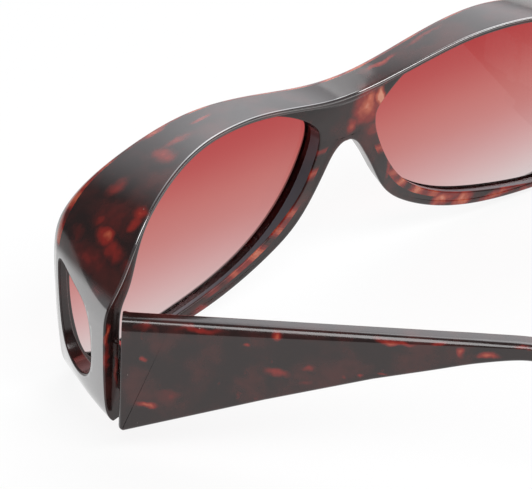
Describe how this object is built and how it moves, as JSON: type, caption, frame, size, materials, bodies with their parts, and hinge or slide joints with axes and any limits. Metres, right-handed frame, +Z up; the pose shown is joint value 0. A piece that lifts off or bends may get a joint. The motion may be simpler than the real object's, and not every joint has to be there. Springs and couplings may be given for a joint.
{
  "type": "fit-over reading glasses",
  "caption": "Fit-over reading glasses with a deep brow shelf, windowed side shields, gradient-tinted lenses and wide folding temples on screwed hinges.",
  "frame": {"origin": "under the middle of the overall bounding box, level with the lowest point of the rims", "axes": "+X to the wearer's left, -Y the way the wearer looks, +Z up"},
  "size_m": [0.152, 0.1216, 0.051],
  "materials": {
    "front_frame": "polished tortoiseshell, near-black brown with red patches",
    "lens_left": "polished, red tint at the top fading to nearly clear at the bottom",
    "lens_right": "polished, red tint at the top fading to nearly clear at the bottom",
    "temple_left": "polished tortoiseshell, near-black brown with red patches",
    "temple_right": "polished tortoiseshell, near-black brown with red patches",
    "hinge_front_leaf_left": "plain stamped metal",
    "hinge_front_leaf_right": "plain stamped metal",
    "hinge_temple_leaf_left": "plain stamped metal",
    "hinge_temple_leaf_right": "plain stamped metal",
    "hinge_screw_left": "turned metal",
    "hinge_screw_right": "turned metal"
  },
  "bodies": {
    "front": {"front_frame": "front_frame", "lens_left": "lens_left", "lens_right": "lens_right", "hinge_front_leaf_left": "hinge_front_leaf_left", "hinge_front_leaf_right": "hinge_front_leaf_right", "hinge_screw_left": "hinge_screw_left", "hinge_screw_right": "hinge_screw_right"},
    "temple_left": {"temple_left": "temple_left", "hinge_temple_leaf_left": "hinge_temple_leaf_left"},
    "temple_right": {"temple_right": "temple_right", "hinge_temple_leaf_right": "hinge_temple_leaf_right"}
  },
  "joints": [
    {"name": "temple_left_fold", "type": "hinge", "parent": "front", "child": "temple_left", "pos_m": [0.0711, -0.03455, 0.0161], "axis": [0, 0, 1], "range_deg": [-48, 44]},
    {"name": "temple_right_fold", "type": "hinge", "parent": "front", "child": "temple_right", "pos_m": [-0.0711, -0.03455, 0.0161], "axis": [0, 0, -1], "range_deg": [0, 88]}
  ]
}
